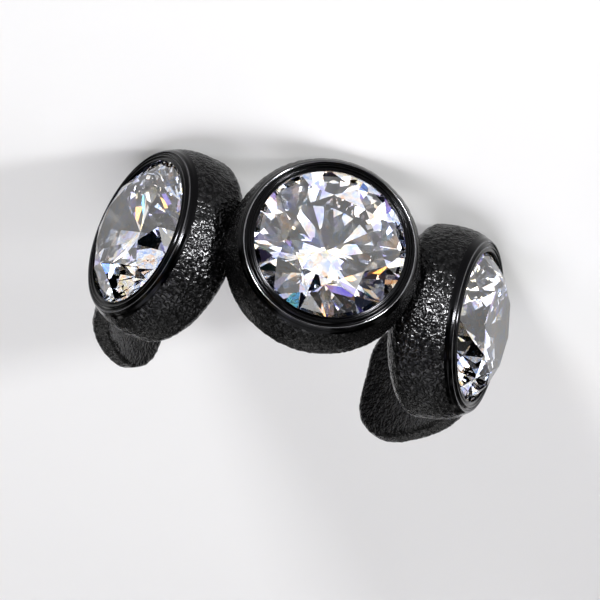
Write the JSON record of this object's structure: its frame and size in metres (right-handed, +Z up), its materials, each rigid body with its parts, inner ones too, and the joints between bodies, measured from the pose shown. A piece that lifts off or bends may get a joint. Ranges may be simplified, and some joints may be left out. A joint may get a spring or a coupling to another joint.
{
  "type": "ear cuff",
  "caption": "Open springy ear cuff in blackened metal, with round clear stones in barrel-shaped bezel cups across its front and a mouth at the back that slips over the ear's edge.",
  "frame": {"origin": "on the surface that the cuff lies on, under the middle of its box", "axes": "+Z up, along the axis that the band bends round; -Y out through the centre stone; +Y out through the mouth; +X along the row of cups"},
  "size_m": [0.0174, 0.016, 0.0079],
  "materials": {
    "blackened_metal": "black plating with a fine leathery grain, its bezel lips polished",
    "clear_stone": "clear, facet-cut and polished"
  },
  "bodies": {
    "root": {"cuff_body": "blackened_metal", "stone_left": "clear_stone", "stone_centre": "clear_stone", "stone_right": "clear_stone"}
  },
  "joints": []
}
